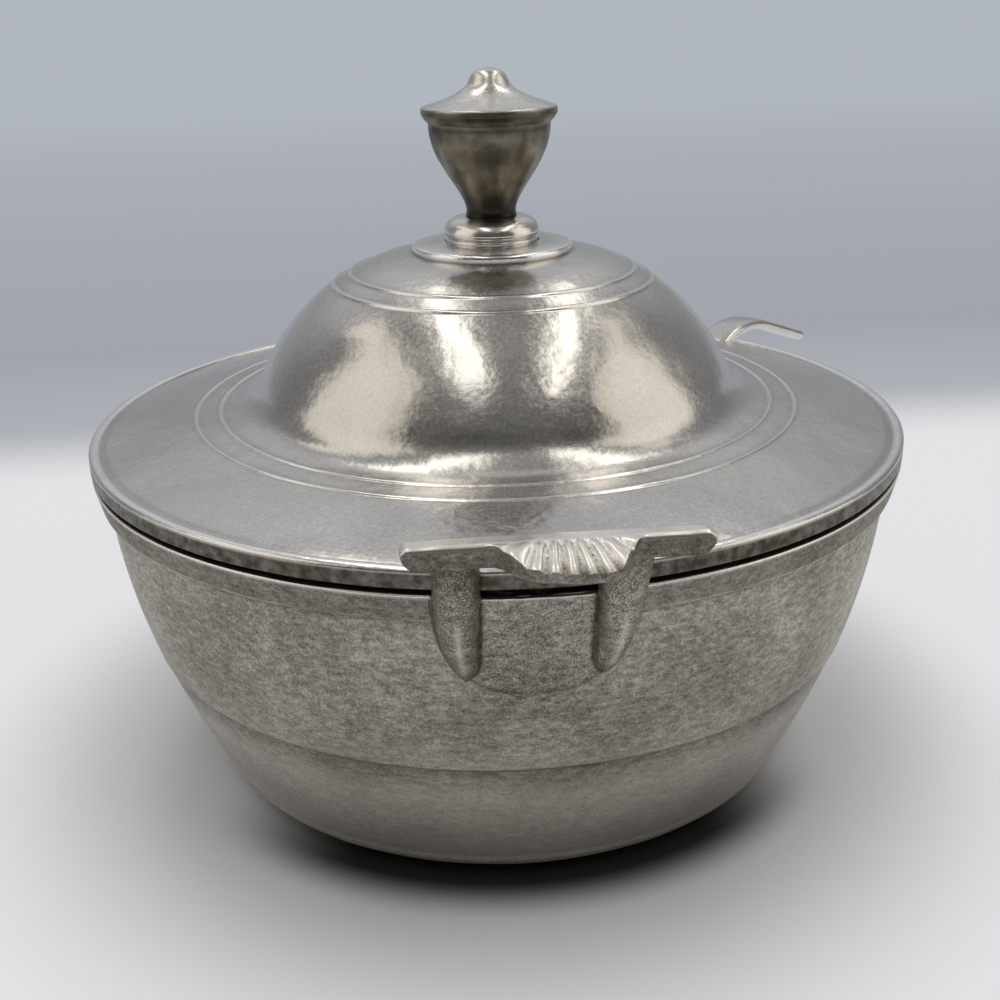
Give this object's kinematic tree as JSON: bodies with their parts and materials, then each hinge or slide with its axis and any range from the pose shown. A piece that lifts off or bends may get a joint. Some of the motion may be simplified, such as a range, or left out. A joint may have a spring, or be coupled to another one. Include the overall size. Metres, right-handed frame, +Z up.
{
  "type": "soup tureen with ladle",
  "caption": "Round covered soup tureen in cast pewter-like metal: flared bowl, domed lid with urn knob, shell-topped lug handles, and a ladle leaning out through a notch in the lid.",
  "frame": {"origin": "centre of the flat base, on the table", "axes": "+Z up along the bowl's axis, Y along the line through the lug handles with the front handle at -Y, X across them"},
  "size_m": [0.2639, 0.294, 0.2122],
  "materials": {
    "cast_bowl": "sand-cast, tumbled to a grainy satin",
    "polished_lid": "soft polished, finely scratched",
    "dark_knob": "cast, darkened in the hollows",
    "ladle_metal": "soft polished",
    "zinc_steel": "zinc plated"
  },
  "bodies": {
    "bowl_with_handles": {"bowl": "cast_bowl", "front_handle": "cast_bowl", "rear_handle": "cast_bowl"},
    "ladle": {"ladle_cup": "ladle_metal", "ladle_handle": "ladle_metal"},
    "lid_with_knob": {"lid": "polished_lid", "knob": "dark_knob", "knob_collar": "polished_lid", "knob_screw": "zinc_steel", "knob_washer": "zinc_steel"}
  },
  "joints": [
    {"name": "ladle_lift", "type": "slide", "parent": "bowl_with_handles", "child": "ladle", "axis": [0, 0, 1], "range_m": [0, 0.125]},
    {"name": "lid_lift", "type": "slide", "parent": "ladle", "child": "lid_with_knob", "axis": [0, 0, 1], "range_m": [0, 0.12]}
  ]
}
